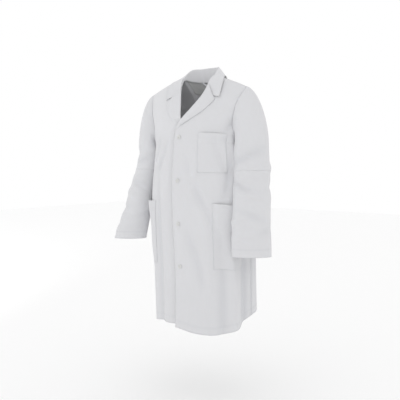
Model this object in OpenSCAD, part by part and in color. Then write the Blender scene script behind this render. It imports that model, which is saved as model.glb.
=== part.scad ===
// Lab coat: a knee-length, long-sleeved coat with a notched collar, a left-over-right front with
// four buttons, a breast pocket and two lower patch pockets, hanging as if worn.
// The origin is the middle of the neck opening, level with the back neck seam. The wearer faces -Y.

/* [Torso] */
// Height of the hem below the back neck seam
hem_z = -990; // [-1060:10:-940]
// Height of the underarm point
underarm_z = -265; // [-275:1:-260]
// Half width of the torso at the underarm
chest_w = 208; // [200:1:210]
// Half width of the ellipse that the shoulders lie on
yoke_w = 270; // [262:1:274]
// Side to side half width of the neck opening
neck_x = 80; // [74:1:86]
// Height of the shoulder seam at the neck
neck_z = 8; // [4:1:12]
// Half of the shoulder width
tip_x = 236; // [230:1:237]
// Height of the shoulder tip
tip_z = -50; // [-54:1:-49]
// Thickness of a cloth panel
cloth = 2; // [1.6:0.1:2.2]
// Gap between two layers of cloth
layer_gap = 0.4; // [0.3:0.1:0.6]

/* [Fronts] */
// How far each front edge passes the middle
overlap = 23; // [20:1:26]
// How far the right front lies behind the left one where they overlap
under_depth = 7; // [6:0.5:8]
// Width of the facing inside each front edge
facing_w = 62; // [40:1:66]
// Height of the folded hem
hem_h = 25; // [15:1:30]
// Distance of each front's moving edge from its swing axis
swing_arm = 80; // [75:1:85]

/* [Buttons] */
// Height of the top button
top_button_z = -240; // [-245:1:-235]
// Distance from one button to the next
button_pitch = 170.5; // [150:0.5:175]
// Number of buttons
button_count = 4; // [3:1:4]
// Diameter of a button
button_d = 16; // [14:0.5:16]
// Thickness of a button
button_t = 2.6; // [2:0.1:3]

/* [Pockets] */
// How far a pocket's bag stands off the coat
pocket_gape = 14; // [12:0.5:15]
// Height of a pocket's mouth hem
pocket_hem_h = 20; // [12:1:24]

/* [Sleeves] */
// Height of the axis that the sleeve swings about at the shoulder
shoulder_axis_z = -130; // [-131:1:-129]
// Height of the axis that the sleeve bends about at the elbow
elbow_z = -390; // [-400:1:-380]
// Height of the cuff's edge
cuff_z = -694; // [-710:1:-670]
// Height of the hem inside the cuff
cuff_hem_h = 28; // [20:1:34]

/* [Neck label and loop] */
// Width of the neck label
label_w = 46; // [36:1:56]
// Height of the neck label
label_h = 32; // [24:1:36]
// Distance between the ends of the hanger loop
loop_w = 62; // [50:1:70]

/* [Hidden] */

white = [0.87, 0.87, 0.88];
shade = [0.78, 0.79, 0.80];
step = 0.004;                     // step of the numeric normals
seam = 0.2;                       // half of the gap at a seam between two panels
shoulder_y = -5;                  // the shoulder seam lies a little forward
neck_back = 83;                   // depth of the neck opening behind the middle
break_v = 0.21;                   // where the lapel begins to fold, above the underarm
facing_t = 1.6;
inner_d = -cloth - layer_gap;     // depth at which a facing or a hem starts
flap_top_v = 0.58;                // top of the moving part of a front
swing_room = 14;                  // inner layers stop this short of the moving part's edge

// Half width, middle and half depth of the torso's section at each height
WIDTH = [[hem_z, 222], [-700, 232], [-400, 224], [underarm_z, chest_w]];
MIDDLE = [[hem_z, 50], [-752, 27], [-581, 20.5], [-411, 17.5], [underarm_z, 15]];
DEPTH = [[hem_z, 173], [-752, 146], [-581, 150], [-411, 150], [underarm_z, 138]];

// Line that each front swings about, from the side of the neck to the side of the hem
AXIS_TOP = [100, -60, -20];
AXIS_FOOT = [220, 0, -1000];

// Outer edge of the lapel: position up the chest, distance from the middle
LAPEL_EDGE = [[break_v, -overlap + 5], [0.34, 30], [0.45, 64], [0.54, 86], [0.68, 104], [0.8, 108]];
// Armhole edge: position up the chest, distance from the middle
ARMHOLE = [[0, chest_w], [0.25, 200], [0.5, 204], [0.75, 216], [1, tip_x]];

// Left half of the collar, from the middle of the back: its fold, its outer edge and its seam
FOLD = [[0, 84, 50], [38, 76, 50], [68, 44, 48], [80, 4, 38], [77, -34, 8], [64, -70, -42]];
LEAF = [[0, 106, -8], [60, 96, -8], [104, 58, -2], [128, 8, 4], [143, -38, -30], [145, -72, -80]];
SEAM = [[0, 80, 3], [36, 72, 4], [64, 42, 8], [74, 4, 12], [68, -30, -8], [56, -62, -48]];

// Sleeve sections: height, middle across, middle along, half width, half depth
SLEEVE = [
    [-50, 232, 0, 8, 12], [-58, 231, 0, 30, 34], [-78, 230, 0, 46, 50], [-120, 238, 0, 54, 62],
    [-180, 256, 0, 54, 70], [-214, 266, 0, 51.5, 73], [-265, 267, 0, 51.5, 73],
    [-330, 271, -1, 48, 69], [elbow_z, 274, -2, 47, 64], [-460, 281, -16, 48, 59],
    [-560, 290, -41, 51, 53], [cuff_z, 303, -75, 61, 42]
];

// --- geometry helpers ---

function unit(v) = v / norm(v);
function mix(a, b, t) = a + (b - a) * t;
function ease(t) = let(c = min(1, max(0, t))) c * c * (3 - 2 * c);

// Smooth curve through a list of points, with u from 0 to 1
function curve(pts, u) =
    let(
        n = len(pts) - 1,
        i = min(n - 1, max(0, floor(u * n))),
        t = u * n - i,
        p0 = pts[max(0, i - 1)],
        p1 = pts[i],
        p2 = pts[i + 1],
        p3 = pts[min(n, i + 2)]
    )
    0.5 * (2 * p1 + (p2 - p0) * t + (2 * p0 - 5 * p1 + 4 * p2 - p3) * t * t
        + (3 * p1 - p0 - 3 * p2 + p3) * t * t * t);

// --- torso surface: turn is the angle from the middle of the front, v runs from -1 at the hem,
// through 0 at the underarm, to 1 at the shoulder ---

function low_z(v) = underarm_z + v * (underarm_z - hem_z);
function half_width(v) = v < 0 ? lookup(low_z(v), WIDTH) : mix(chest_w, yoke_w, v);
function turn_at(x, v) = asin(x / half_width(v));
function seam_z(x) = neck_z - (neck_z - tip_z) * max(0, (abs(x) - neck_x) / (tip_x - neck_x));
function is_back(turn) = abs(turn) > 90;
function top_z(turn, x) =
    is_back(turn) && abs(x) < neck_x ? neck_z * pow(x / neck_x, 2) : seam_z(x);
function top_y(turn, x) =
    is_back(turn) && abs(x) < neck_x
        ? shoulder_y + (neck_back - shoulder_y) * sqrt(1 - pow(x / neck_x, 2))
        : shoulder_y;
function fullness(v) = pow(max(0, 1 - pow(v, 2.2)), 0.85);

function torso(turn, v) =
    let(
        x = half_width(v) * sin(turn),
        z = v < 0 ? low_z(v) : underarm_z + v * (top_z(turn, x) - underarm_z),
        full_y = lookup(min(z, underarm_z), MIDDLE) - lookup(min(z, underarm_z), DEPTH) * cos(turn),
        y = v < 0 ? full_y : mix(top_y(turn, x), full_y, fullness(min(v, 1)))
    )
    [x, y, z];

// The same point, moved outwards by d
function off_torso(turn, v, d) =
    let(
        w = min(v, 0.985),
        across = torso(turn + 0.3, w) - torso(turn - 0.3, w),
        up = torso(turn, w + step) - torso(turn, w - step)
    )
    torso(turn, v) + d * unit(cross(across, up));

function front_x(v) =
    v < break_v ? -overlap : mix(-overlap, neck_x - 5, (v - break_v) / (1 - break_v));
function height(v) = v < 0 ? low_z(v) : underarm_z + v * (neck_z - underarm_z);
function axis_x(z) = mix(AXIS_TOP[0], AXIS_FOOT[0], (AXIS_TOP[2] - z) / (AXIS_TOP[2] - AXIS_FOOT[2]));
function swing_x(v) = axis_x(height(v)) - swing_arm;
function arm_turn(v) = v <= 0 ? 90 : turn_at(lookup(v, ARMHOLE), v);

// A sheet of cloth: side(s, t) is its outer face, with s to the wearer's left and t upwards
module sheet(side, ns, nt, thick) {
    outer = [for (j = [0:nt]) for (i = [0:ns]) side(i / ns, j / nt)];
    inner = [
        for (j = [0:nt]) for (i = [0:ns])
            let(
                s = i / ns,
                t = j / nt,
                across = side(min(1, s + step), t) - side(max(0, s - step), t),
                up = side(s, min(1, t + step)) - side(s, max(0, t - step))
            )
            side(s, t) - thick * unit(cross(across, up))
    ];
    row = ns + 1;
    count = row * (nt + 1);
    faces = [
        for (j = [0:nt - 1]) for (i = [0:ns - 1])
            let(a = j * row + i, b = a + 1, c = a + row, d = c + 1)
            each [[a, c, b], [b, c, d], [count + a, count + b, count + c],
                  [count + b, count + d, count + c]],
        for (i = [0:ns - 1])
            let(a = i, b = nt * row + i)
            each [[a, a + 1, count + a], [a + 1, count + a + 1, count + a],
                  [b, count + b, b + 1], [b + 1, count + b, count + b + 1]],
        for (j = [0:nt - 1])
            let(a = j * row, b = j * row + ns)
            each [[a, count + a, a + row], [a + row, count + a, count + a + row],
                  [b, b + row, count + b], [b + row, count + b + row, count + b]]
    ];
    polyhedron(concat(outer, inner), faces, convexity = 8);
}

module to_right() {
    mirror([1, 0, 0]) children();
}

// --- back and sides ---

module back_panel() {
    color(white)
    sheet(function(s, t)
        let(v = mix(-1, 1, t), edge = v <= 0 ? 90 : 180 - arm_turn(v))
        torso(mix(edge + seam, 180 - seam, s), v), 12, 24, cloth);
}

module back_left_panel() back_panel();
module back_right_panel() to_right() back_panel();

module side_front() {
    color(white)
    sheet(function(s, t)
        let(
            v = mix(-1, 1, t),
            x = max(swing_x(v) + 3 * seam, front_x(v))
        )
        torso(mix(turn_at(x, v), arm_turn(v) - seam, s), v), 10, 28, cloth);
}

module left_side_front() side_front();
module right_side_front() to_right() side_front();

// A strip of cloth turned up inside the hem
module hem_strip(from, to, pieces) {
    color(shade)
    sheet(function(s, t)
        off_torso(mix(from, to, s), -1 + t * hem_h / (underarm_z - hem_z), inner_d),
        pieces, 1, facing_t);
}

module back_hem() hem_strip(92, 268, 24);
module side_hem() hem_strip(turn_at(swing_x(-1) + 3, -1), 88, 8);
module left_side_hem() side_hem();
module right_side_hem() to_right() side_hem();

module back_neck_facing() {
    color(shade)
    sheet(function(s, t) off_torso(mix(166, 194, s), mix(0.78, 0.92, t), 2 * inner_d), 8, 3, facing_t);
}

// --- collar: s from the wearer's right collar point to the left one ---

function both_sides(pts, s) =
    let(p = curve(pts, min(1, abs(2 * s - 1))), side = s < 0.5 ? 1 : -1)
    [side * p[0], p[1], p[2]];
function leaf(s, t) = mix(both_sides(LEAF, s), both_sides(FOLD, s), t);

module top_collar() {
    color(white)
    sheet(function(s, t) leaf(s, mix(0, 0.93, t)), 28, 3, cloth);
}

module under_collar() {
    color(white)
    sheet(function(s, t)
        let(
            across = leaf(s + step, t) - leaf(s - step, t),
            up = leaf(s, t + step) - leaf(s, t - step)
        )
        leaf(s, mix(0.02, 0.9, t)) - (cloth + layer_gap) * unit(cross(across, up)), 28, 3, facing_t);
}

module collar_stand() {
    color(shade)
    sheet(function(s, t) mix(both_sides(SEAM, s), both_sides(FOLD, s), mix(0, 0.8, t)), 28, 2, cloth);
}

// --- pockets: a bag that stands off the coat, sewn at its sides and bottom ---

function bag(s, t) = ease(5 * s) * ease(5 * (1 - s)) * ease(5 * t);
function bag_point(turns, heights, s, t, d) =
    let(v = mix(heights[0], heights[1], t))
    off_torso(mix(turns[0], turns[1], s), v, d + (pocket_gape - d) * bag(s, t));

module pocket(turns, heights) {
    color(white)
    sheet(function(s, t) bag_point(turns, heights, s, t, cloth + layer_gap), 10, 10, facing_t);
}

module pocket_hem(turns, heights, tall) {
    share = pocket_hem_h / tall;
    color(shade)
    sheet(function(s, t)
        let(u = mix(1 - share, 0.99, t), r = mix(0.22, 0.78, s), v = mix(heights[0], heights[1], u))
        off_torso(mix(turns[0], turns[1], r), v, pocket_gape - facing_t - layer_gap), 6, 1, 1.2);
}

BREAST_TURNS = [23, 58];
BREAST_V = [-0.157, 0.155];
LOWER_TURNS = [38, 78];
LOWER_V = [-0.674, -0.325];

module breast_pocket() pocket(BREAST_TURNS, BREAST_V);
module breast_pocket_hem() pocket_hem(BREAST_TURNS, BREAST_V, 156);
module left_pocket() pocket(LOWER_TURNS, LOWER_V);
module left_pocket_hem() pocket_hem(LOWER_TURNS, LOWER_V, 253);
module right_pocket() to_right() left_pocket();
module right_pocket_hem() to_right() left_pocket_hem();

// --- fronts: under is 0 for the left one and 1 for the right one, which is drawn mirrored ---

function tuck(x, v, under) = under * under_depth * (1 - ease((x + front_x(v) - 2) / 14));
function front_point(x, v, d, under) = off_torso(turn_at(x, v), v, d - tuck(x, v, under));

module front_panel(under) {
    color(white)
    sheet(function(s, t)
        let(v = mix(-1, flap_top_v, t))
        front_point(mix(front_x(v), swing_x(v) - 3 * seam, s), v, 0, under), 13, 24, cloth);
}

module facing(under) {
    color(shade)
    sheet(function(s, t)
        let(v = mix(-0.998, 0.42, t), w = min(facing_w, swing_x(v) - front_x(v) - swing_room))
        front_point(front_x(v) + 1 + (w - 1) * s, v, inner_d - 2.5 * under, under), 4, 22, facing_t);
}

module lapel(under) {
    color(white)
    sheet(function(s, t)
        let(
            v = mix(under == 0 ? break_v + 0.01 : 0.42, mix(0.79, 0.67, s), t),
            x = mix(front_x(v) + 1, lookup(v, LAPEL_EDGE), s)
        )
        off_torso(turn_at(x, v), v, mix(cloth + 1.5, cloth + 5, ease(3 * s))), 6, 10, cloth);
}

module front_hem(under) {
    color(shade)
    sheet(function(s, t)
        let(v = -1 + t * hem_h / (underarm_z - hem_z))
        front_point(mix(front_x(v) + facing_w + 1, swing_x(v) - swing_room, s), v, inner_d - under, under),
        6, 1, facing_t);
}

function button_z(i) = top_button_z - i * button_pitch;
function v_at(z) = z < underarm_z ? (z - underarm_z) / (underarm_z - hem_z)
    : (z - underarm_z) / (neck_z - underarm_z);
function button_y(i) = torso(0, v_at(button_z(i)))[1];

// Slots in which the left front slides past the buttons
module button_slots() {
    slot_h = button_d + 2;
    for (i = [0:button_count - 1])
        translate([-overlap - 10, button_y(i) - 20, button_z(i) - slot_h / 2])
            cube([overlap + 20, 40, slot_h]);
}

module left_front_panel() {
    difference() {
        front_panel(0);
        color(white) button_slots();
    }
}

module left_facing() {
    difference() {
        facing(0);
        color(shade) button_slots();
    }
}

module left_lapel() lapel(0);
module left_front_hem() front_hem(0);
module right_front_panel() to_right() front_panel(1);
module right_facing() to_right() facing(1);
module right_lapel() to_right() lapel(1);
module right_front_hem() to_right() front_hem(1);

module buttons() {
    hole_d = 1.8;
    hole_off = 1.9;
    color([0.93, 0.93, 0.92])
    for (i = [0:button_count - 1])
        translate([0, button_y(i) - 0.8, button_z(i)])
            rotate([90, 0, 0])
                difference() {
                    cylinder(h = button_t, d = button_d, $fn = 32);
                    translate([0, 0, button_t - 0.7])
                        cylinder(h = 1, d = button_d - 5, $fn = 32);
                    for (a = [45:90:315])
                        rotate(a) translate([hole_off, 0, -1])
                            cylinder(h = button_t + 2, d = hole_d, $fn = 16);
                }
}

module button_threads() {
    color(white)
    for (i = [0:button_count - 1])
        translate([0, button_y(i) + under_depth - layer_gap, button_z(i)])
            rotate([90, 0, 0])
                cylinder(h = under_depth + 0.3, d = 3, $fn = 16);
}

// --- sleeves ---

// Solid inside the sleeve's outer face, drawn in by inset
module sleeve_solid(inset) {
    sides = 20;
    rings = 22;
    last = rings * sides;
    points = [
        for (j = [0:rings])
            let(c = curve(SLEEVE, j / rings), drop = j == 0 || j == rings ? inset : 0)
            for (i = [0:sides - 1])
                [c[1] + (c[3] - inset) * cos(i * 360 / sides),
                 c[2] + (c[4] - inset) * sin(i * 360 / sides),
                 c[0] - drop]
    ];
    faces = [
        for (j = [0:rings - 1]) for (i = [0:sides - 1])
            let(a = j * sides + i, b = j * sides + (i + 1) % sides)
            each [[a, b, a + sides], [b, b + sides, a + sides]],
        for (i = [1:sides - 2]) each [[0, i + 1, i], [last, last + i, last + i + 1]]
    ];
    polyhedron(points, faces, convexity = 4);
}

module sleeve_shell(inset, thick) {
    difference() {
        sleeve_solid(inset);
        sleeve_solid(inset + thick);
    }
}

// Round space about a swing axis that runs along X
module drum(z, y, from_x, to_x, radius) {
    translate([from_x, y, z])
        rotate([0, 90, 0])
            cylinder(h = to_x - from_x, r = radius, $fn = 64);
}

module above(z) {
    translate([100, -300, z]) cube([400, 600, 800]);
}

module below(z) {
    translate([100, -300, z - 800]) cube([400, 600, 800]);
}

head_x = 240.5;
head_r = 81.6;
elbow_y = -2;
elbow_r = 83;
swing_gap = 0.4;

module sleeve_head() {
    color(white)
    intersection() {
        sleeve_shell(0, cloth);
        drum(shoulder_axis_z, 0, 150, head_x, head_r);
        rotate([90, 0, 0])
            translate([0, 0, -150])
                linear_extrude(300)
                    polygon(concat(
                        [for (k = [0:12]) [lookup(k / 12, ARMHOLE) + 1,
                                           mix(underarm_z, tip_z, k / 12) - (k == 0 ? 10 : 0)]],
                        [[tip_x + 1, 0], [400, 0], [400, underarm_z - 10]]));
    }
}

module upper_sleeve() {
    color(white)
    difference() {
        sleeve_shell(0, cloth);
        drum(shoulder_axis_z, 0, 100, head_x + swing_gap, head_r + swing_gap);
        difference() {
            below(elbow_z);
            drum(elbow_z, elbow_y, 90, 510, elbow_r);
        }
    }
}

module lower_sleeve() {
    color(white)
    difference() {
        sleeve_shell(0, cloth);
        above(elbow_z);
        drum(elbow_z, elbow_y, 90, 510, elbow_r + swing_gap);
    }
}

module cuff_hem() {
    color(shade)
    difference() {
        sleeve_shell(cloth + layer_gap, facing_t);
        above(cuff_z + cuff_hem_h);
    }
}

module left_sleeve_head() sleeve_head();
module right_sleeve_head() to_right() sleeve_head();
module left_upper_sleeve() upper_sleeve();
module left_lower_sleeve() lower_sleeve();
module left_cuff_hem() cuff_hem();
module right_upper_sleeve() to_right() upper_sleeve();
module right_lower_sleeve() to_right() lower_sleeve();
module right_cuff_hem() to_right() cuff_hem();

// --- inside the back neck ---

label_y = 90;
label_z = -27;
loop_y = 72;
loop_z = -2;
loop_drop = 18;
loop_t = 1.4;

module neck_label() {
    color([0.92, 0.92, 0.9])
    translate([-label_w / 2, label_y - 0.8, label_z - label_h])
        cube([label_w, 0.8, label_h]);
}

module hanger_loop() {
    band = 4;
    color(shade)
    translate([0, loop_y, loop_z])
        rotate([90, 0, 0])
            linear_extrude(loop_t)
                difference() {
                    scale([loop_w / 2, loop_drop]) circle(r = 1, $fn = 48);
                    scale([loop_w / 2 - band, loop_drop - band]) circle(r = 1, $fn = 48);
                    translate([-loop_w, 0]) square([2 * loop_w, loop_drop + 1]);
                }
}

back_left_panel();
back_right_panel();
left_side_front();
right_side_front();
back_hem();
left_side_hem();
right_side_hem();
back_neck_facing();
collar_stand();
under_collar();
top_collar();
breast_pocket();
breast_pocket_hem();
left_pocket();
left_pocket_hem();
right_pocket();
right_pocket_hem();
left_sleeve_head();
right_sleeve_head();
left_front_panel();
left_facing();
left_lapel();
left_front_hem();
right_front_panel();
right_facing();
right_lapel();
right_front_hem();
buttons();
button_threads();
left_upper_sleeve();
left_lower_sleeve();
left_cuff_hem();
right_upper_sleeve();
right_lower_sleeve();
right_cuff_hem();
neck_label();
hanger_loop();
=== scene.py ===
"""A white lab coat that hangs as if worn. The wearer faces -Y and the wearer's left is +X."""

import math

import bpy
import numpy as np
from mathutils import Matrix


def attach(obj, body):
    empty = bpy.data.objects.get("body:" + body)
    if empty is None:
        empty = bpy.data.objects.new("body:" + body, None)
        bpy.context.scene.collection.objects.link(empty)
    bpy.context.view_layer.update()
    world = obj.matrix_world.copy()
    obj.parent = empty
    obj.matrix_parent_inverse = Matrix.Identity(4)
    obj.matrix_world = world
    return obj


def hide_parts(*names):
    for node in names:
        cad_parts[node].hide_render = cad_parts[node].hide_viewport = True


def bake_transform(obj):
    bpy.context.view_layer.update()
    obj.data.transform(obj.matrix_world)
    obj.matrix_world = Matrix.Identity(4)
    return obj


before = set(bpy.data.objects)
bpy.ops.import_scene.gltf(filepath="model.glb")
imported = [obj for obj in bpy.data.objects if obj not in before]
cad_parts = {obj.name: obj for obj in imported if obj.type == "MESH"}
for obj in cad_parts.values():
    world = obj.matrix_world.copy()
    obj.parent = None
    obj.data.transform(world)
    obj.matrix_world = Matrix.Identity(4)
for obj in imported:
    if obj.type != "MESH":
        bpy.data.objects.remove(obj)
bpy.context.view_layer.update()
MM = 0.001

# ---------------------------------------------------------------- camera, light and floor
# The coat is seen from the front and the wearer's left, from a little above its middle. Soft light
# comes from all round, with a large lamp in front on the wearer's right.

camera_turn = math.radians(37)
camera_away = 2.3
camera_height = -0.348
camera_dip = math.radians(3.6)
camera_aside = math.radians(0.2)

camera_data = bpy.data.cameras.new("camera")
camera_data.lens = 50.4
camera = bpy.data.objects.new("camera", camera_data)
bpy.context.collection.objects.link(camera)
camera.location = (
    math.sin(camera_turn) * camera_away,
    -math.cos(camera_turn) * camera_away,
    camera_height,
)
camera.rotation_euler = (math.pi / 2 - camera_dip, 0, camera_turn - camera_aside)
bpy.context.scene.camera = camera

world = bpy.data.worlds.new("studio")
world.use_nodes = True
world.node_tree.nodes["Background"].inputs["Color"].default_value = (1.0, 1.0, 1.0, 1)
world.node_tree.nodes["Background"].inputs["Strength"].default_value = 1.0
bpy.context.scene.world = world
bpy.context.scene.view_settings.view_transform = "Standard"


def lamp(name, place, target, size, power):
    data = bpy.data.lights.new(name, "AREA")
    data.shape = "DISK"
    data.size = size
    data.energy = power
    light = bpy.data.objects.new(name, data)
    bpy.context.collection.objects.link(light)
    light.location = place
    way = np.array(target, float) - np.array(place, float)
    yaw = math.atan2(way[0], -way[1])
    light.rotation_euler = (math.atan2(math.hypot(way[0], way[1]), -way[2]), 0, yaw)
    return light


lamp("key", (-2.4, -1.2, 1.1), (0, 0, -0.45), 0.7, 62)
low_lamp = lamp("low", (0.2, -2.2, -1.1), (0, 0, -0.9), 0.9, 11)
low_lamp.data.color = (0.62, 0.74, 1.0)


def plain_material(name, colour, roughness):
    material = bpy.data.materials.new(name)
    material.use_nodes = True
    shader = material.node_tree.nodes["Principled BSDF"]
    shader.inputs["Base Color"].default_value = (*colour, 1)
    shader.inputs["Roughness"].default_value = roughness
    return material


def make_mesh(name, points, faces, smooth=True):
    data = bpy.data.meshes.new(name)
    data.from_pydata([tuple(p) for p in points], [], [tuple(f) for f in faces])
    data.polygons.foreach_set("use_smooth", [smooth] * len(data.polygons))
    data.update()
    piece = bpy.data.objects.new(name, data)
    bpy.context.collection.objects.link(piece)
    return piece


floor_z = -1.3
floor = make_mesh("floor", [(-9, -9, floor_z), (9, -9, floor_z), (9, 9, floor_z), (-9, 9, floor_z)],
                  [(0, 1, 2, 3)], smooth=False)
floor.data.materials.append(plain_material("floor_paint", (0.97, 0.97, 0.97), 0.9))

# ---------------------------------------------------------------- cotton cloth
# The coat is cut from a white poly-cotton twill of medium weight. The weave is a fine diagonal rib,
# pressed flat, with soft shade painted into its colour at seams, hems and pocket edges and in fold
# hollows.


def group_tree(name, inputs, outputs):
    tree = bpy.data.node_groups.new(name, "ShaderNodeTree")
    for label, kind in outputs:
        tree.interface.new_socket(label, in_out="OUTPUT", socket_type=kind)
    for label, kind, value in inputs:
        socket = tree.interface.new_socket(label, in_out="INPUT", socket_type=kind)
        socket.default_value = value
    return tree, tree.nodes.new("NodeGroupInput"), tree.nodes.new("NodeGroupOutput")


def wave(tree, scale, along, distort):
    node = tree.nodes.new("ShaderNodeTexWave")
    node.wave_type = "BANDS"
    node.bands_direction = along
    node.inputs["Scale"].default_value = scale
    node.inputs["Distortion"].default_value = distort
    node.inputs["Detail"].default_value = 1.0
    return node


def maths(tree, kind, first, second):
    node = tree.nodes.new("ShaderNodeMath")
    node.operation = kind
    for socket, value in zip(node.inputs, (first, second)):
        if isinstance(value, (int, float)):
            socket.default_value = value
        else:
            tree.links.new(value, socket)
    return node.outputs[0]


def twill_group():
    """Height of the rib and the creases, and a tint that varies over the cloth and carries painted
    shade.
    """
    tree, given, out = group_tree(
        "twill",
        [("Rib", "NodeSocketFloat", 1.0), ("Crumple", "NodeSocketFloat", 1.0),
         ("Light", "NodeSocketColor", (0.8, 0.8, 0.8, 1)),
         ("Dark", "NodeSocketColor", (0.7, 0.7, 0.7, 1))],
        [("Height", "NodeSocketFloat"), ("Colour", "NodeSocketColor"),
         ("Roughness", "NodeSocketFloat")])
    uv = tree.nodes.new("ShaderNodeUVMap")
    uv.uv_map = "cloth"
    place = tree.nodes.new("ShaderNodeTexCoord").outputs["Object"]
    ribs = wave(tree, 520, "DIAGONAL", 0.6)
    yarns = wave(tree, 900, "X", 0.4)
    tree.links.new(uv.outputs[0], ribs.inputs["Vector"])
    tree.links.new(uv.outputs[0], yarns.inputs["Vector"])
    rib = maths(tree, "MULTIPLY", ribs.outputs["Fac"], given.outputs["Rib"])
    yarn = maths(tree, "MULTIPLY", yarns.outputs["Fac"], 0.4)
    weave = maths(tree, "MULTIPLY", maths(tree, "ADD", rib, yarn), 0.06)
    crumple = tree.nodes.new("ShaderNodeTexNoise")
    crumple.inputs["Scale"].default_value = 26
    crumple.inputs["Detail"].default_value = 3
    crumple.inputs["Roughness"].default_value = 0.45
    tree.links.new(place, crumple.inputs["Vector"])
    soft = maths(tree, "MULTIPLY", crumple.outputs["Fac"], given.outputs["Crumple"])
    tree.links.new(maths(tree, "ADD", weave, soft), out.inputs["Height"])
    cloud = tree.nodes.new("ShaderNodeTexNoise")
    cloud.inputs["Scale"].default_value = 5
    cloud.inputs["Detail"].default_value = 4
    tree.links.new(place, cloud.inputs["Vector"])
    # Painted shade: a point attribute darkens the colour along seams, hems and pocket edges and in fold
    # hollows; on the neck label it is the woven border.
    shade_and_border = tree.nodes.new("ShaderNodeAttribute")
    shade_and_border.attribute_name = "shade_and_border"
    shade_and_tone = maths(tree, "ADD", maths(tree, "MULTIPLY", cloud.outputs["Fac"], 0.16),
                  maths(tree, "MULTIPLY", shade_and_border.outputs["Fac"], 0.35))
    rib_shade = maths(tree, "MULTIPLY", ribs.outputs["Fac"], 0.10)
    mix = tree.nodes.new("ShaderNodeMix")
    mix.data_type = "RGBA"
    tree.links.new(maths(tree, "ADD", shade_and_tone, rib_shade), mix.inputs["Factor"])
    tree.links.new(given.outputs["Light"], mix.inputs["A"])
    tree.links.new(given.outputs["Dark"], mix.inputs["B"])
    tree.links.new(mix.outputs["Result"], out.inputs["Colour"])
    tree.links.new(maths(tree, "ADD", maths(tree, "MULTIPLY", cloud.outputs["Fac"], 0.12), 0.76),
                   out.inputs["Roughness"])
    return tree


twill = twill_group()


def cloth_material(name, light, dark, rib=1.0, crumple=1.0, bump=0.5):
    material = bpy.data.materials.new(name)
    material.use_nodes = True
    tree = material.node_tree
    shader = tree.nodes["Principled BSDF"]
    shader.inputs["Sheen Weight"].default_value = 0.12
    shader.inputs["Sheen Roughness"].default_value = 0.5
    shader.inputs["Specular IOR Level"].default_value = 0.25
    weave = tree.nodes.new("ShaderNodeGroup")
    weave.node_tree = twill
    weave.inputs["Rib"].default_value = rib
    weave.inputs["Crumple"].default_value = crumple
    weave.inputs["Light"].default_value = (*light, 1)
    weave.inputs["Dark"].default_value = (*dark, 1)
    height = tree.nodes.new("ShaderNodeBump")
    height.inputs["Strength"].default_value = bump
    height.inputs["Distance"].default_value = 0.004
    tree.links.new(weave.outputs["Height"], height.inputs["Height"])
    tree.links.new(weave.outputs["Colour"], shader.inputs["Base Color"])
    tree.links.new(weave.outputs["Roughness"], shader.inputs["Roughness"])
    tree.links.new(height.outputs["Normal"], shader.inputs["Normal"])
    return material


cotton = cloth_material("cotton_twill", (0.73, 0.73, 0.745), (0.55, 0.56, 0.59))
# The inner layers are the same cloth as the outside, made darker as painted shade for the inside of the
# coat.
inside_shade_cotton = cloth_material("cotton_inside_shaded", (0.68, 0.685, 0.675), (0.54, 0.55, 0.54), crumple=0.6)
thread = cloth_material("sewing_thread", (0.80, 0.80, 0.81), (0.66, 0.66, 0.67), crumple=0.0, bump=0.3)

# ---------------------------------------------------------------- body of the coat
# The cut of the torso, as one smooth surface that every panel, pocket and facing lies on. Turn is
# the angle round from the middle of the front; v is -1 at the hem, 0 at the underarm, 1 at the
# shoulder. Lengths are millimetres until a mesh is made.

underarm_z = -265
chest_w = 208
yoke_w = 270
neck_x = 80
neck_z = 8
tip_x = 236
tip_z = -50
break_v = 0.21
shoulder_y = -5
neck_back = 83

WIDTH = [(-1000, 222), (-700, 232), (-400, 224), (-265, 208)]
MIDDLE = [(-1000, 50), (-752, 27), (-581, 20.5), (-411, 17.5), (-265, 15)]
DEPTH = [(-1000, 173), (-752, 146), (-581, 150), (-411, 150), (-265, 138)]
HEM = [(-180, -900), (-150, -895), (-115, -902), (-98, -925), (-84, -962), (-64, -1002),
       (-20, -1000), (-4, -1000), (20, -1012), (45, -1012), (66, -996), (84, -962), (98, -925),
       (115, -902), (150, -895), (180, -900)]
ARMHOLE = [(0, 208), (0.25, 200), (0.5, 204), (0.75, 216), (1, 236)]

# Soft folds: from (turn, z) to (turn, z), half width in degrees, height in mm before fold_strength
FOLDS = [
    (24, -250, 10, -560, 5, 3.0), (40, -210, 60, -420, 6, -4.0), (62, -200, 78, -430, 6, 5.0),
    (30, -430, 34, -960, 6, 4.0), (46, -520, 50, -985, 6, -5.0), (60, -600, 66, -985, 6, 6.0),
    (78, -640, 80, -980, 6, -8.0), (96, -560, 97, -960, 7, 13.0), (113, -520, 116, -950, 6, -13.0),
    (134, -480, 136, -940, 8, 11.0), (156, -520, 157, -940, 7, -8.0),
    (-20, -260, -17, -980, 5, 3.5), (-32, -300, -30, -990, 5, -5.0), (-46, -260, -43, -990, 6, 5.0),
    (-62, -320, -60, -1000, 6, -6.0), (-78, -420, -78, -1000, 7, 6.0), (-100, -500, -100, -990, 7, -7.0),
    (-122, -520, -120, -960, 8, 8.0), (-148, -500, -148, -950, 8, -6.0),
    (8, -300, 22, -470, 4, -2.0), (14, -400, 46, -640, 5, -4.5), (6, -560, 34, -900, 6, -4.0),
    (66, -300, 52, -500, 5, -4.0), (-14, -230, -40, -420, 5, -4.0),
    (-30, -215, -52, -380, 5, -4.0), (70, -120, 56, -240, 6, -4.0), (-64, -130, -54, -250, 6, -4.0),
    (118, -160, 138, -330, 8, -4.0), (-118, -160, -138, -330, 8, -4.0),
]

fold_strength = 1.6


def ease(t):
    t = np.clip(t, 0, 1)
    return t * t * (3 - 2 * t)


def mix(a, b, t):
    return a + (b - a) * t


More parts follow.
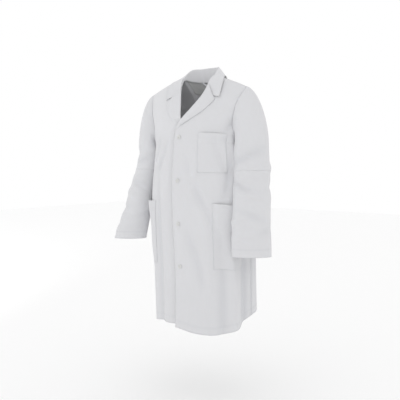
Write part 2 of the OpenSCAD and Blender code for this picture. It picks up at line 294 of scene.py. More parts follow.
def flow(at, table):
    """Smooth curve through a table of (place, value), flat beyond its ends."""
    xs = np.array([row[0] for row in table], float)
    ys = np.array([row[1:] for row in table], float)
    slope = np.gradient(ys, xs, axis=0)
    at = np.clip(at, xs[0], xs[-1])
    i = np.clip(np.searchsorted(xs, at, side="right") - 1, 0, len(xs) - 2)
    gap = (xs[i + 1] - xs[i])[..., None]
    t = (at - xs[i])[..., None] / gap
    value = ((1 + 2 * t) * (1 - t) ** 2 * ys[i] + t * (1 - t) ** 2 * gap * slope[i]
             + t * t * (3 - 2 * t) * ys[i + 1] + t * t * (t - 1) * gap * slope[i + 1])
    return value[..., 0] if ys.shape[1] == 1 else value


def hem_z(turn):
    return flow(np.asarray(turn, float), HEM)


def low_z(turn, v):
    return underarm_z + v * (underarm_z - hem_z(turn))


def half_width(turn, v):
    return np.where(v < 0, flow(low_z(turn, v), WIDTH), mix(chest_w, yoke_w, v))


def turn_at(x, v):
    turn = np.zeros(np.broadcast(x, v).shape)
    for _ in range(3):
        turn = np.degrees(np.arcsin(np.clip(x / half_width(turn, v), -1, 1)))
    return turn


def seam_z(x):
    drop = np.maximum(0, (np.abs(x) - neck_x) / (tip_x - neck_x))
    return neck_z - (neck_z - tip_z) * (0.75 * drop + 0.25 * drop * drop)


def fold_height(turn, z):
    height = np.zeros(np.shape(turn))
    for turn_a, z_a, turn_b, z_b, wide, tall in FOLDS:
        along = np.clip((z - z_a) / (z_b - z_a), 0, 1)
        across = (turn - mix(turn_a, turn_b, along)) / wide
        past = np.maximum(0, np.maximum(z - z_a, z_b - z)) / 40
        hem_end = 1.0 if z_b < -930 else ease((1 - along) / 0.35)
        fade = ease(along / 0.45 + 0.12) * hem_end
        height = height + fold_strength * tall * fade * np.exp(-across ** 2 - past ** 2)
    return height


def plain_torso(turn, v):
    turn, v = np.broadcast_arrays(np.asarray(turn, float), np.asarray(v, float))
    angle = np.radians(turn)
    x = half_width(turn, v) * np.sin(angle)
    in_neck = (np.abs(turn) > 90) & (np.abs(x) < neck_x)
    share = np.clip(x / neck_x, -1, 1)
    top_z = np.where(in_neck, neck_z * share ** 2, seam_z(x))
    top_y = shoulder_y + in_neck * (neck_back - shoulder_y) * np.sqrt(1 - share ** 2)
    z = np.where(v < 0, low_z(turn, v), underarm_z + v * (top_z - underarm_z))
    under = np.minimum(z, underarm_z)
    full_y = flow(under, MIDDLE) - flow(under, DEPTH) * np.cos(angle)
    fullness = np.maximum(0, 1 - np.clip(v, 0, 1) ** 2.2) ** 0.85
    y = np.where(v < 0, full_y, mix(top_y, full_y, fullness))
    return np.stack([x, y, z], -1)


def unit(vectors):
    return vectors / np.maximum(np.linalg.norm(vectors, axis=-1, keepdims=True), 1e-9)


def outward(turn, v):
    w = np.clip(v, -1, 0.97)
    across = plain_torso(turn + 0.5, w) - plain_torso(turn - 0.5, w)
    up = plain_torso(turn, w + 0.008) - plain_torso(turn, w - 0.008)
    return unit(np.cross(across, up))


def torso(turn, v, off=0.0):
    """A point on the coat's outer face, with its folds, moved outwards by off."""
    turn, v, off = np.broadcast_arrays(
        np.asarray(turn, float), np.asarray(v, float), np.asarray(off, float))
    base = plain_torso(turn, v)
    rise = off + fold_height(turn, base[..., 2])
    return base + rise[..., None] * outward(turn, v)


ROLL = {
    1: [(-1, -23), (0.15, -23), (0.21, -20), (0.32, 0), (0.52, 48), (0.68, 78), (0.85, 86), (1, 80)],
    -1: [(-1, -23), (0.15, -23), (0.21, -20), (0.36, 1), (0.54, 14), (0.68, 28), (0.85, 52), (1, 72)],
}


def front_x(v, side=1):
    """Where a front's edge and then its roll line lie. The left one is turned further back."""
    return flow(np.asarray(v, float), ROLL[side])


def arm_turn(v):
    return np.where(v <= 0, 90, turn_at(flow(np.maximum(v, 0), ARMHOLE), np.maximum(v, 1e-6)))


def grid_points(shape, across, up):
    s, t = np.meshgrid(np.linspace(0, 1, across + 1), np.linspace(0, 1, up + 1))
    return shape(s, t), s, t


def grid_normals(points, round_it=False):
    if round_it:
        ahead = np.roll(points[:, :-1], -1, 1) - np.roll(points[:, :-1], 1, 1)
        along = np.concatenate([ahead, ahead[:, :1]], 1)
    else:
        along = np.gradient(points, axis=1)
    return unit(np.cross(along, np.gradient(points, axis=0)))


def cloth(name, shape, across, up, thick, material, shade_and_border=None, round_it=False):
    """A panel of cloth: shape(s, t) is its outer face, with s to the wearer's left and t upwards."""
    points, s, t = grid_points(shape, across, up)
    normals = grid_normals(points, round_it)
    both = np.concatenate([points.reshape(-1, 3), (points - thick * normals).reshape(-1, 3)]) * MM
    row, count = across + 1, (across + 1) * (up + 1)
    j, i = np.meshgrid(np.arange(up), np.arange(across), indexing="ij")
    a = (j * row + i).ravel()
    outer = np.stack([a, a + 1, a + row + 1, a + row], 1)
    inner = count + outer[:, ::-1]
    low, left = np.arange(across), np.arange(up) * row
    high, right = low + up * row, left + across
    rims = [np.stack([low + 1, low, count + low, count + low + 1], 1),
            np.stack([high, high + 1, count + high + 1, count + high], 1)]
    if not round_it:
        rims += [np.stack([left, left + row, count + left + row, count + left], 1),
                 np.stack([right + row, right, count + right, count + right + row], 1)]
    faces = np.concatenate([outer, inner] + rims)
    if round_it:
        weld = np.arange(2 * count)
        last = np.concatenate([right, [right[-1] + row], count + right, [count + right[-1] + row]])
        weld[last] = last - across
        faces = weld[faces]
        used, back = np.unique(faces, return_inverse=True)
        both, faces = both[used], back.reshape(faces.shape)
    piece = make_mesh(name, both, faces)
    cut_edges = len(faces) - 2 * len(outer)
    piece.data.polygons.foreach_set("use_smooth", [True] * 2 * len(outer) + [False] * cut_edges)
    wide = np.linalg.norm(np.diff(points, axis=1), axis=-1).sum(1).mean() * MM
    tall = np.linalg.norm(np.diff(points, axis=0), axis=-1).sum(0).mean() * MM
    spread = np.stack([s.ravel() * wide, t.ravel() * tall], 1)
    spread = np.concatenate([spread, spread])
    # Per-point darkening for the shader: painted shade on the coat's panels, the woven border on the
    # label.
    shade_and_tone = np.zeros(2 * count) if shade_and_border is None else np.tile(shade_and_border(s, t).ravel(), 2)
    if round_it:
        spread, shade_and_tone = spread[used], shade_and_tone[used]
    layer = piece.data.uv_layers.new(name="cloth")
    corners = np.empty(len(piece.data.loops), np.int32)
    piece.data.loops.foreach_get("vertex_index", corners)
    layer.data.foreach_set("uv", spread[corners].ravel())
    mark = piece.data.attributes.new("shade_and_border", "FLOAT", "POINT")
    mark.data.foreach_set("value", shade_and_tone.astype(np.float32))
    piece.data.materials.append(material)
    return piece


def swing(piece, side):
    """Bakes the piece's placement into its mesh."""
    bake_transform(piece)


def near(value, line, wide):
    return np.exp(-((value - line) / wide) ** 2)


cloth_t = 0.8


under_depth = 5.0
FOOT = {1: -1.0, -1: -0.983}         # the right front's lower edge is a little higher


def tuck(side, x, v):
    """How far the right front lies behind the left one, where that covers it."""
    return 0 if side > 0 else under_depth * (1 - ease((x + front_x(v) - 3) / 22))


def front_shape(side):
    def shape(s, t):
        v = mix(FOOT[side], 1, t)
        start = turn_at(front_x(v, side), v)
        turn = mix(start, arm_turn(v), s)
        x = half_width(turn, v) * np.sin(np.radians(turn))
        return torso(side * turn, v, -tuck(side, x, v))
    return shape if side > 0 else lambda s, t: shape(1 - s, t)


def valley(turn, v):
    """Soft shade in the hollows of the folds."""
    base = plain_torso(turn, v)
    return 0.75 * np.clip(-fold_height(turn, base[..., 2]) / 9, 0, 1)


# Painted shade along the hem, the side seam and the front edge below the break, and in the hollows of
# the folds.
def front_shade(side):
    def shade_and_border(s, t):
        s = s if side > 0 else 1 - s
        v = mix(-1, 1, t)
        hem = near(t, 0.019, 0.003) * 0.5
        seam = near(s, 1, 0.012) * 0.8
        edge = near(s, 0, 0.01) * 0.2 * (v < break_v)
        turn = mix(turn_at(front_x(v, side), v), arm_turn(v), s)
        return np.clip(hem + seam + edge + valley(side * turn, v), 0, 1)
    return shade_and_border


for side, word in ((1, "left"), (-1, "right")):
    front = cloth(f"{word}_front_cloth", front_shape(side), 110, 240, cloth_t, cotton,
                  front_shade(side))
    swing(front, side)
    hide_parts(f"{word}_side_front", f"{word}_front_panel")

# The back is cut in two halves, joined down the middle, and left open at the foot as a vent where
# the wearer's left half laps over the right one.


def back_shape(side):
    def shape(s, t):
        v = mix(-1, 1, t)
        edge = np.where(v <= 0, 90, 180 - arm_turn(v))
        vent = ease((-0.62 - v) / 0.03)
        last = 180 + (8.0 * vent if side > 0 else 0)
        turn = mix(edge, last, s)
        lap = 1.6 * vent * ease((turn - 168) / 6) if side > 0 else 0
        return torso(side * turn, v, lap)
    return shape if side > 0 else lambda s, t: shape(1 - s, t)


# Painted shade along the hem, the side seam and the middle seam, and in the hollows of the folds.
def back_shade(side):
    def shade_and_border(s, t):
        s = s if side > 0 else 1 - s
        v = mix(-1, 1, t)
        turn = mix(np.where(v <= 0, 90, 180 - arm_turn(v)), 180, s)
        lines = near(t, 0.019, 0.003) * 0.5 + near(s, 0, 0.01) * 0.8 + near(s, 1, 0.008) * 0.6
        return np.clip(lines + valley(side * turn, v), 0, 1)
    return shade_and_border


for side, word in ((1, "left"), (-1, "right")):
    back = cloth(f"{word}_back_cloth", back_shape(side), 90, 200, cloth_t, cotton,
                 back_shade(side))
    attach(back, "coat_body")
    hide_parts(f"back_{word}_panel")

# ---------------------------------------------------------------- sleeves
# Each sleeve is set into its armhole with a full head, hangs with the elbow a little bent and ends
# in an open cuff. It is made in two lengths that meet above the elbow.

# Height, middle across, middle along, half the broad way, half the narrow way. The broad way runs
# from the wearer's front right to the back left on both sleeves, and the cloth hangs flat along it.
SLEEVE = {
    1: [(-694, 283, -40, 76, 38), (-620, 278, -33, 75, 41), (-560, 274, -27, 73, 43),
        (-460, 268, -16, 72, 45), (-390, 265, -12, 70, 48), (-330, 262, -9, 68, 52),
        (-285, 259, -6, 67, 54)],
    -1: [(-694, 309, -78, 69, 44), (-620, 300, -62, 65, 46), (-560, 292, -48, 60, 48),
         (-460, 282, -26, 55, 52), (-390, 268, -14, 53, 52), (-330, 258, -8, 52, 56),
         (-285, 251, -6, 53, 58)],
}
broad_way = math.radians(37)
biceps_z = -290
cuff_z = -694
head_share = 0.34                       # share of the sleeve's length above the biceps
drag_strength = 1.5


def armhole_point(side, angle):
    v = (1 + np.cos(angle)) / 2
    turn = np.where(np.sin(angle) < 0, arm_turn(v), 180 - arm_turn(v))
    return torso(side * turn, v)


def ring(z, angle, side):
    size = flow(z, SLEEVE[side])
    lift = 30 * ease((biceps_z - z) / 400) if side < 0 else 0
    slant = side * broad_way
    broad, narrow = size[..., 2] * np.cos(angle - slant), size[..., 3] * np.sin(angle - slant)
    x = size[..., 0] + broad * math.cos(slant) - narrow * math.sin(slant)
    y = size[..., 1] + broad * math.sin(slant) + narrow * math.cos(slant)
    return np.stack([side * x, y, z + lift], -1)


def sleeve_folds(side, angle, z):
    """Height of the drag lines at the armpit, the elbow and above the cuff."""
    turned = np.degrees(angle) % 360
    total = np.zeros(np.shape(turned))
    for at, z_at, lean, wide, tall in (
            (262, -330, 0.30, 16, -4.5), (286, -395, 0.35, 15, 4.0), (258, -430, -0.45, 13, -5.0),
            (290, -470, -0.40, 15, 4.0), (300, -540, -0.35, 15, -4.0), (240, -560, 0.35, 15, 4.0),
            (320, -300, 0.25, 18, -3.0), (60, -420, 0.4, 16, -5.0), (90, -500, -0.4, 16, 4.0),
            (30, -360, 0.3, 16, 3.5), (350, -600, 0.25, 16, -3.0), (120, -350, -0.3, 18, -4.0),
            (275, -620, 0.2, 14, 3.5)):
        along = (turned - at + 180) % 360 - 180
        across = (z - z_at) - lean * along * (1 if side > 0 else -1)
        total = total + drag_strength * tall * np.exp(-(across / wide) ** 2 - (along / 46) ** 2)
    return total


def sleeve_shape(side, first, last):
    def shape(s, t):
        angle = 2 * math.pi * s * side + math.pi
        t = mix(last, first, t)
        seam = armhole_point(side, angle)
        full = ring(np.full(np.shape(t), float(biceps_z)), angle, side)
        reach = np.linalg.norm(full - seam, axis=-1, keepdims=True)
        away = np.stack([side * np.ones_like(t), 0.75 * np.sin(angle), -0.22 - 0 * t], -1)
        u = np.clip(t / head_share, 0, 1)[..., None]
        leave = seam + unit(away) * reach * 0.20
        reach_down = full + np.array([0, 0, 1.0]) * reach * 0.42
        head = ((1 - u) ** 3 * seam + 3 * u * (1 - u) ** 2 * leave
                + 3 * u * u * (1 - u) * reach_down + u ** 3 * full)
        z = mix(biceps_z, cuff_z, np.clip((t - head_share) / (1 - head_share), 0, 1))
        arm = ring(z, angle, side)
        points = np.where((t < head_share)[..., None], head, arm)
        rise = sleeve_folds(side, angle, points[..., 2]) * ease((t - 0.02) / 0.12)
        out = np.stack([side * np.cos(angle), np.sin(angle), 0 * t], -1)
        return points + rise[..., None] * out
    return shape


# Painted shade at the armhole seam and above the cuff, and in the hollows of the drag lines.
def sleeve_shade(side, first, last):
    def shade_and_border(s, t):
        t = mix(last, first, t)
        z = mix(biceps_z, cuff_z, (t - head_share) / (1 - head_share))
        hollow_shade = np.clip(-sleeve_folds(side, 2 * math.pi * s * side + math.pi, z) / 8, 0, 1)
        lines = near(t, 0, 0.008) * 0.9 + near(t, 0.952, 0.004) * 0.6
        return np.clip(lines + 0.8 * hollow_shade * ease((t - 0.1) / 0.2), 0, 1)
    return shade_and_border


sleeve_split = 0.47
for side, word in ((1, "left"), (-1, "right")):
    upper = cloth(f"{word}_sleeve_top", sleeve_shape(side, 0, sleeve_split), 120, 110, cloth_t,
                  cotton, sleeve_shade(side, 0, sleeve_split), round_it=True)
    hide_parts(f"{word}_sleeve_head", f"{word}_upper_sleeve")
    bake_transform(upper)
    lower = cloth(f"{word}_sleeve_foot", sleeve_shape(side, sleeve_split, 1), 120, 110, cloth_t,
                  cotton, sleeve_shade(side, sleeve_split, 1), round_it=True)
    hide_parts(f"{word}_lower_sleeve")
    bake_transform(lower)

# ---------------------------------------------------------------- facings and hems
# A facing of the same cloth backs each front edge, and each lower edge is turned up 25 mm. They
# lie inside the panels and are held by the stitching along them.

layer_step = 1.1
facing_w = 62
hem_h = 25


def v_at(turn, z):
    """Position on the coat of a height in millimetres."""
    return (z - underarm_z) / np.where(z < underarm_z, underarm_z - hem_z(turn), neck_z - underarm_z)


def facing_shape(side):
    def shape(s, t):
        v = mix(FOOT[side] + 0.0005, 0.60, t)
        x = front_x(v, side) + 0.3 + (facing_w - 0.3) * s
        turn = turn_at(x, v)
        return torso(side * turn, v, -layer_step - tuck(side, x, v))
    return shape if side > 0 else lambda s, t: shape(1 - s, t)


def hem_shape(side, first, last):
    """A strip turned up inside the lower edge, from one turn to another."""
    def shape(s, t):
        turn = mix(first, last, s)
        foot = FOOT[side] if last < 90 else -1.0
        v = mix(foot + 0.0005, foot + hem_h / (underarm_z - hem_z(side * turn)), t)
        return torso(side * turn, v, -layer_step)
    return shape if side > 0 else lambda s, t: shape(1 - s, t)


for side, word in ((1, "left"), (-1, "right")):
    facing = cloth(f"{word}_front_facing", facing_shape(side), 10, 150, 0.7, inside_shade_cotton)
    swing(facing, side)
    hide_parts(f"{word}_facing")
    strip = cloth(f"{word}_front_hem_strip", hem_shape(side, 11.5, 88.5), 60, 3, 0.7, inside_shade_cotton)
    swing(strip, side)
    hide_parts(f"{word}_front_hem", f"{word}_side_hem")
    strip = cloth(f"{word}_back_hem_strip", hem_shape(side, 91.5, 178.5), 60, 3, 0.7, inside_shade_cotton)
    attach(strip, "coat_body")
    if side > 0:
        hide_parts("back_hem")

# ---------------------------------------------------------------- lapels
# Above the top button the fronts fold outwards along a soft roll and lie on the chest. Each lapel
# is two layers of cloth, pressed, with a point below the notch where it meets the collar.

LAPEL_EDGE = {
    1: [(0.20, -20), (0.27, 10), (0.34, 44), (0.42, 80), (0.54, 112), (0.64, 130), (0.8, 134)],
    -1: [(0.20, -14), (0.27, 14), (0.34, 40), (0.45, 74), (0.53, 91), (0.62, 92), (0.8, 92)],
}
GORGE = {1: (0.86, 0.655), -1: (0.80, 0.62)}
lapel_roll = 0.22


def lapel_shape(side, lift=0.0):
    low = 0.215 if side > 0 else 0.30

    def shape(s, t):
        u = np.clip((s - lapel_roll) / (1 - lapel_roll), 0, 1)
        v = mix(low, mix(*GORGE[side], u), t)
        x0 = front_x(v, side)
        full = ease(t / 0.14)
        radius = mix(0.7, 3.0, full)
        swept = np.clip(s / lapel_roll, 0, 1) * math.pi - math.pi / 2
        edge = np.maximum(flow(v, LAPEL_EDGE[side]), x0 + 1)
        x = mix(x0, edge, u) - radius * np.cos(swept)
        rise = -1.0 + radius + radius * np.sin(swept) + lift
        rise = rise - 2.2 * u * full + 3.2 * full * np.sin(math.pi * u) ** 2 * (0.5 + 0.5 * t)
        rise = rise - tuck(side, np.maximum(x0, 0), np.minimum(v, break_v + 0.1)) * (1 - full)
        return torso(side * turn_at(x, v), v, rise)
    return shape if side > 0 else lambda s, t: shape(1 - s, t)


for side, word in ((1, "left"), (-1, "right")):
    lapel = cloth(f"{word}_lapel_cloth", lapel_shape(side), 44, 90, 1.5, cotton)
    swing(lapel, side)
    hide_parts(f"{word}_lapel")

# ---------------------------------------------------------------- collar
# The collar stands up from the neck seam, rolls over and falls on the shoulders to its corners. It
# has a top layer and an under layer of the same cloth, sewn together round the outer edge.

# Each line runs from the wearer's left end round the back to the right end
FOLD = [(88, -69, -74), (83, -36, -14), (80, 6, 14), (67, 45, 52), (38, 77, 59), (0, 84, 61),
        (-38, 76, 59), (-66, 46, 52), (-76, 6, 14), (-64, -34, -18), (-46, -70, -66)]
LEAF = [(150, -66, -88), (146, -37, -34), (128, 6, 2), (104, 58, -2), (60, 96, -8), (0, 106, -8),
        (-60, 96, -8), (-104, 58, -2), (-126, 6, 0), (-124, -42, -34), (-104, -79, -86)]
SEAM = [(78, -62, -76), (74, -30, -26), (74, 4, 0), (63, 42, -3), (36, 72, -6), (0, 80, -7),
        (-36, 72, -6), (-63, 42, -3), (-70, 4, 0), (-58, -30, -28), (-38, -62, -70)]


def round_neck(place, table):
    """Smooth line through a collar table; place runs 0 to 1 from the left end."""
    return flow(place * 10, [(i, *row) for i, row in enumerate(table)])


def collar_shape(first, last, depth=0.0):
    """From t = 0 at the outer edge, over the fold, to t = 1 at the neck seam."""
    def shape(s, t):
        t = mix(first, last, t)
        fold, leaf, seam = (round_neck(s, table) for table in (FOLD, LEAF, SEAM))
        leave, arrive = mix(fold, leaf, 0.17), mix(fold, seam, 0.22)
        fall = np.clip(t / 0.56, 0, 1)[..., None]
        roll = np.clip((t - 0.56) / 0.16, 0, 1)[..., None]
        stand = np.clip((t - 0.72) / 0.28, 0, 1)[..., None]
        away = unit((leaf - seam) * np.array([1, 1, 0.0]))
        swell = 2.5 * np.sin(math.pi * fall) * away
        down = mix(leaf, leave, fall) + swell
        over = (1 - roll) ** 2 * leave + 2 * roll * (1 - roll) * fold + roll ** 2 * arrive
        points = np.where(t[..., None] < 0.56, down,
                          np.where(t[..., None] < 0.72, over, mix(arrive, seam, stand)))
        return points - depth * grid_normals(points)
    return shape


collar = cloth("collar_cloth", collar_shape(0, 1), 150, 46, 0.9, cotton)
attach(collar, "coat_body")
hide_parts("top_collar", "collar_stand")
under = cloth("under_collar_cloth", collar_shape(0.004, 0.66, 1.3), 120, 30, 0.9, inside_shade_cotton)
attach(under, "coat_body")
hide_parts("under_collar")


def neck_tape_shape(s, t):
    turn = mix(163, 197, s)
    return torso(turn, mix(0.80, 0.975, t), -layer_step)


tape = cloth("neck_tape", neck_tape_shape, 40, 12, 0.7, inside_shade_cotton)
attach(tape, "coat_body")
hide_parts("back_neck_facing")

# ---------------------------------------------------------------- pockets
# Three patch pockets are sewn to the fronts round three sides. The mouth of each is hemmed and a
# little slack, and the lower two have a rounded corner at the back and bar tacks at their mouths.


corner_rise = 58


def patch(first, last, low, high, slack, corner, slope, belly):
    """Shape of a patch pocket between two turns and two heights."""
    def outline(s, t):
        turn = mix(first, last, s)
        start = 1 - corner
        bend = np.clip((s - start) / max(corner, 1e-6), 0, 1) if corner else 0 * s
        bottom = low + corner_rise * (1 - np.sqrt(np.maximum(1 - bend ** 2, 0.0025))) * (corner > 0)
        return turn, mix(bottom, high - slope * s, t)

    def rise(s, t):
        sides = np.minimum(ease(4.5 * s), ease(4.5 * (1 - s)))
        foot = ease(3.2 * t)
        mouth = ease((t - 0.55) / 0.45)
        return 1.1 + sides * (belly * foot + slack * mouth)

    def shape(side, inset=0.0):
        def points(s, t):
            turn, z = outline(s, t)
            v = v_at(side * turn, z)
            x = half_width(turn, v) * np.sin(np.radians(turn))
            return torso(side * turn, v, rise(s, t) - inset - tuck(side, x, v))
        return points if side > 0 else lambda s, t: points(1 - s, t)
    return shape


breast = patch(23, 58, -379, -223, 2.2, 0, 2, 1.2)
lower = patch(38, 78, -754, -494, 5.0, 0.26, 14, 2.5)
lower_right = patch(38, 78, -754, -494, 10.0, 0.26, 8, 4.0)


def within(shape, s0, s1, t0, t1):
    return lambda s, t: shape(mix(s0, s1, s), mix(t0, t1, t))


# Painted shade along the pocket's sewn sides and foot, and along the stitching below its mouth.
def pocket_shade(s, t):
    rim = near(s, 0, 0.02) + near(s, 1, 0.02) + near(t, 0, 0.018)
    return np.clip(0.55 * rim + 0.4 * near(t, 0.865, 0.006), 0, 1)


for name, side, form, wide, tall, node in (
        ("breast_pocket_cloth", 1, breast, 0.115, 0.157, "breast_pocket"),
        ("left_pocket_cloth", 1, lower, 0.145, 0.258, "left_pocket"),
        ("right_pocket_cloth", -1, lower_right, 0.145, 0.258, "right_pocket")):
    pocket = cloth(name, form(side), 60, 70, 0.7, cotton, pocket_shade)
    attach(pocket, "coat_body")
    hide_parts(node)
    word = "left" if side > 0 else "right"
    inside = within(form(side, 0.95), 0.06, 0.94, 0.87, 0.998)
    strip = cloth(name.replace("_cloth", "_hem_strip"), inside, 40, 5, 0.6, inside_shade_cotton)
    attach(strip, "coat_body")
    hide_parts(f"{node}_hem")

# ---------------------------------------------------------------- cuffs
# Each sleeve ends in a plain hem, turned up inside and stitched once round. The cuff is open and
# has no button or placket.

for side, word in ((1, "left"), (-1, "right")):
    def inner_cuff(s, t, side=side):
        points = sleeve_shape(side, 0.936, 0.9995)(s, t)
        return points - 1.1 * grid_normals(points, True)

    band = cloth(f"{word}_cuff_band", inner_cuff, 100, 4, 0.7, inside_shade_cotton, round_it=True)
    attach(band, f"{word}_forearm")
    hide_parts(f"{word}_cuff_hem")

# ---------------------------------------------------------------- buttons and buttonholes
# Four cast plastic buttons with four holes are sewn to the right front. Each passes through an
# upright worked buttonhole in the left front.

BUTTON_Z = (-240.0, -410.5, -581.0, -751.5)


def pearl_plastic():
    material = plain_material("pearl_plastic", (0.72, 0.72, 0.71), 0.28)
    tree = material.node_tree
    shader = tree.nodes["Principled BSDF"]
    shader.inputs["Coat Weight"].default_value = 0.25
    shader.inputs["Subsurface Weight"].default_value = 0.08
    shader.inputs["Subsurface Radius"].default_value = (0.002, 0.002, 0.002)
    place = tree.nodes.new("ShaderNodeTexCoord").outputs["Object"]
    swirl = tree.nodes.new("ShaderNodeTexNoise")
    swirl.inputs["Scale"].default_value = 170
    swirl.inputs["Detail"].default_value = 3
    tree.links.new(place, swirl.inputs["Vector"])
    tint = tree.nodes.new("ShaderNodeMix")
    tint.data_type = "RGBA"
    tint.inputs["A"].default_value = (0.80, 0.80, 0.79, 1)
    tint.inputs["B"].default_value = (0.60, 0.60, 0.585, 1)
    tree.links.new(swirl.outputs["Fac"], tint.inputs["Factor"])
    tree.links.new(tint.outputs["Result"], shader.inputs["Base Color"])
    gloss = maths(tree, "ADD", maths(tree, "MULTIPLY", swirl.outputs["Fac"], 0.18), 0.2)
    tree.links.new(gloss, shader.inputs["Roughness"])
    return material


def reface(node, material):
    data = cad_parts[node].data
    data.materials.clear()
    data.materials.append(material)


reface("buttons", pearl_plastic())
reface("button_threads", thread)

# ---------------------------------------------------------------- stitching
# Polyester thread runs along every seam and hem: one row round the fronts, hems, collar, lapels and
# pockets, two rows round the armholes. Each stitch is 2.3 mm long with a small gap after it.


def stitch_group():
    """Turns lines of edges into rows of short thread stitches."""
    tree = bpy.data.node_groups.new("stitch_row", "GeometryNodeTree")
    tree.interface.new_socket("Geometry", in_out="OUTPUT", socket_type="NodeSocketGeometry")
    tree.interface.new_socket("Geometry", in_out="INPUT", socket_type="NodeSocketGeometry")
    for label, value in (("Pitch", 0.003), ("Length", 0.0023), ("Thickness", 0.0004)):
        socket = tree.interface.new_socket(label, in_out="INPUT", socket_type="NodeSocketFloat")
        socket.default_value = value
    tree.interface.new_socket("Thread", in_out="INPUT", socket_type="NodeSocketMaterial")
    given, out = tree.nodes.new("NodeGroupInput"), tree.nodes.new("NodeGroupOutput")
    line = tree.nodes.new("GeometryNodeMeshToCurve")
    even = tree.nodes.new("GeometryNodeResampleCurve")
    if hasattr(even, "mode"):
        even.mode = "LENGTH"
    else:
        even.inputs["Mode"].default_value = "Length"
    tangent = tree.nodes.new("GeometryNodeInputTangent")
    turn = tree.nodes.new("FunctionNodeAlignRotationToVector")
    turn.axis = "Z"
    bead = tree.nodes.new("GeometryNodeMeshUVSphere")
    bead.inputs["Segments"].default_value = 6
    bead.inputs["Rings"].default_value = 4
    bead.inputs["Radius"].default_value = 0.5
    size = tree.nodes.new("ShaderNodeCombineXYZ")
    place = tree.nodes.new("GeometryNodeInstanceOnPoints")
    real = tree.nodes.new("GeometryNodeRealizeInstances")
    paint = tree.nodes.new("GeometryNodeSetMaterial")
    for start, end in (
            (given.outputs["Geometry"], line.inputs[0]), (line.outputs[0], even.inputs["Curve"]),
            (given.outputs["Pitch"], even.inputs["Length"]), (tangent.outputs[0], turn.inputs["Vector"]),
            (even.outputs[0], place.inputs["Points"]), (bead.outputs["Mesh"], place.inputs["Instance"]),
            (turn.outputs[0], place.inputs["Rotation"]), (given.outputs["Thickness"], size.inputs["X"]),
            (given.outputs["Thickness"], size.inputs["Y"]), (given.outputs["Length"], size.inputs["Z"]),
            (size.outputs[0], place.inputs["Scale"]), (place.outputs[0], real.inputs[0]),
            (real.outputs[0], paint.inputs["Geometry"]),
            (given.outputs["Thread"], paint.inputs["Material"]),
            (paint.outputs[0], out.inputs[0])):
        tree.links.new(start, end)
    return tree


stitch_rows = stitch_group()


def run(shape, s, t, count=120):
    """Points along a line on a shape: s and t are numbers or (start, end)."""
    along = np.linspace(0, 1, count)[None, :]
    s = mix(s[0], s[1], along) if isinstance(s, tuple) else s + 0 * along
    t = mix(t[0], t[1], along) if isinstance(t, tuple) else t + 0 * along
    return shape(s, t)[0]


def stitches(name, lines, pitch=0.0031, length=0.0023, thickness=0.00042):
    points, edges = [], []
    for row in lines:
        start = len(points)
        points += [tuple(p) for p in row * MM]
        edges += [(start + i, start + i + 1) for i in range(len(row) - 1)]
    data = bpy.data.meshes.new(name)
    data.from_pydata(points, edges, [])
    source = bpy.data.objects.new(name, data)
    bpy.context.collection.objects.link(source)
    grow = source.modifiers.new("rows", "NODES")
    grow.node_group = stitch_rows
    for item in stitch_rows.interface.items_tree:
        if item.in_out == "INPUT" and item.name in ("Pitch", "Length", "Thickness", "Thread"):
            grow[item.identifier] = {"Pitch": pitch, "Length": length, "Thickness": thickness,
                                     "Thread": thread}[item.name]
    bpy.context.view_layer.update()
    made = bpy.data.meshes.new_from_object(source.evaluated_get(bpy.context.evaluated_depsgraph_get()))
    bpy.data.objects.remove(source)
    made.name = name
    piece = bpy.data.objects.new(name, made)
    bpy.context.collection.objects.link(piece)
    return piece


def front_line(side, x, v, off, count=260):
    """A row on a front, x mm from the middle, at heights v; either may be a pair."""
    along = np.linspace(0, 1, count)
    v = mix(v[0], v[1], along) if isinstance(v, tuple) else v + 0 * along
    x = mix(x[0], x[1], along) if isinstance(x, tuple) else x(v) if callable(x) else x + 0 * along
    return torso(side * turn_at(x, v), v, off - tuck(side, x, v))


def hem_line(side, first, last, up=hem_h - 2.5, off=0.25, count=220):
    turn = np.linspace(first, last, count)
    foot = FOOT[side] if last < 90 else -1.0
    return torso(side * turn, foot + up / (underarm_z - hem_z(side * turn)), off)


def flat_edge(form, side, in_s, in_t):
    """A row round the three sewn sides of a pocket and one across its hem."""
    shape = form(side, -0.25)
    left, right = (in_s, 1 - in_s)
    return [run(shape, left, (0.985, in_t)), run(shape, (left, right), in_t),
            run(shape, right, (in_t, 0.985)), run(shape, (left, right), 0.865)]


stand_off = 0.25
for side, word in ((1, "left"), (-1, "right")):
    rows = [front_line(side, lambda v: front_x(v) + 6, (FOOT[side] + 0.005, break_v), stand_off),
            hem_line(side, 11, 89)]
    front_rows = stitches(f"{word}_front_stitches", rows)
    swing(front_rows, side)
    lapel_rows = lapel_shape(side, stand_off)
    ends = (0.93, 0.935) if side > 0 else (0.07, 0.065)
    rolled = (0.30, 0.93) if side > 0 else (0.70, 0.07)
    lapel_stitches = stitches(f"{word}_lapel_stitches",
                              [run(lapel_rows, ends, (0.12, 0.97)), run(lapel_rows, rolled, 0.97)])
    swing(lapel_stitches, side)
    seam_rows = []
    for inset in (2.0, 7.5):
        angle = np.linspace(0, 2 * math.pi, 300)
        v = (1 + np.cos(angle)) / 2
        at = arm_turn(v)
        step = np.degrees(inset / half_width(at, v))
        turn = np.where(np.sin(angle) < 0, at - step, 180 - at + step)
        seam_rows.append(torso(side * turn, np.minimum(v, 0.99), stand_off)[np.abs(v - 0.5) < 0.49])
    halves = [part for row in seam_rows for part in np.array_split(row, 2)]
    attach(stitches(f"{word}_armhole_stitches", halves), "coat_body")
    cuff = sleeve_shape(side, 0.952, 1)
    round_cuff = run(cuff, (0, 1), 1.0, 240)
    centre = round_cuff.mean(0)
    round_cuff = round_cuff + unit(round_cuff - centre) * stand_off
    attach(stitches(f"{word}_cuff_stitches", [round_cuff]), f"{word}_forearm")

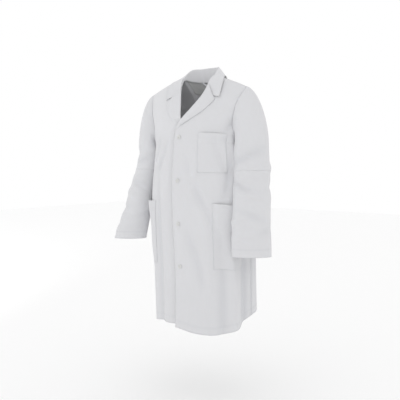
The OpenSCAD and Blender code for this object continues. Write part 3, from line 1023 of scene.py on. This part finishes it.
back_rows = [hem_line(side, 91, 179) for side in (1, -1)]
for inset in (1.8, -1.8):
    v = np.linspace(-0.6, 0.97, 260)
    back_rows.append(torso(180 + inset * 0.26, v, stand_off))
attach(stitches("back_stitches", back_rows), "coat_body")

collar_row = collar_shape(0, 1, -stand_off)
grid_s, grid_t = np.meshgrid(np.linspace(0, 1, 200), np.linspace(0, 1, 60))
collar_face = collar_row(grid_s, grid_t)
edge_row = collar_face[3]
side_rows = [collar_face[3:32, 2], collar_face[3:32, -3]]
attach(stitches("collar_stitches", [edge_row[2:-2]] + side_rows), "coat_body")

pocket_rows = (flat_edge(breast, 1, 0.022, 0.02) + flat_edge(lower, 1, 0.018, 0.012)
               + flat_edge(lower_right, -1, 0.018, 0.012))
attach(stitches("pocket_stitches", pocket_rows), "coat_body")

tacks = []
for form, side in ((lower, 1), (lower_right, -1), (breast, 1)):
    shape = form(side, -0.4)
    for ends in ((0.008, 0.024), (0.976, 0.992)):
        for step in np.linspace(-0.008, 0.008, 6):
            tacks.append(run(shape, ends, 0.975 + step, 8))
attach(stitches("bar_tacks", tacks, pitch=0.0012, length=0.0016, thickness=0.0006), "coat_body")

holes = []
hole_reach = 10.0                       # half of a buttonhole's height
for z in BUTTON_Z:
    v = float(v_at(0, z))
    reach = float(v_at(0, z + hole_reach)) - v
    for across in (-1.3, 1.3):
        holes.append(front_line(1, across, (v - reach, v + reach), 0.3, 40))
    for end in (-1, 1):
        holes.append(front_line(1, (-1.8, 1.8), v + end * reach, 0.3, 12))
buttonholes = stitches("buttonholes", holes, pitch=0.0007, length=0.0011, thickness=0.0011)
swing(buttonholes, 1)

# ---------------------------------------------------------------- neck label and hanger loop
# A small woven label with a plain face hangs inside the back of the neck, sewn along its top edge,
# with a loop of narrow tape above it to hang the coat by.


label_tape = cloth_material("woven_tape", (0.72, 0.73, 0.75), (0.34, 0.37, 0.44), rib=0.4, crumple=0.0)


def label_shape(s, t):
    x = mix(23, -23, s)
    drop = 1 - t
    y = 89.4 - 0.9 * np.sin(math.pi * s) - 1.6 * np.sin(math.pi * drop) * 0.6
    return np.stack([x, y, mix(-59, -27, t)], -1)


def label_border(s, t):
    border = (near(s, 0.06, 0.012) + near(s, 0.94, 0.012)) + near(t, 0.09, 0.018) + near(t, 0.91, 0.018)
    return np.clip(border, 0, 0.9)


label = cloth("label_cloth", label_shape, 60, 44, 0.5, label_tape, label_border)
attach(label, "label_flap")
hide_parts("neck_label")


def loop_shape(s, t):
    x = mix(31, -31, s)
    sag = 18 * np.sin(math.pi * s) ** 0.8
    return np.stack([x, 71.6 + 0 * s - 0.4 * np.sin(math.pi * s), -2 - sag + mix(-3.8, 3.8, t)], -1)


loop = cloth("loop_tape", loop_shape, 50, 4, 0.8, label_tape)
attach(loop, "loop_flap")
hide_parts("hanger_loop")
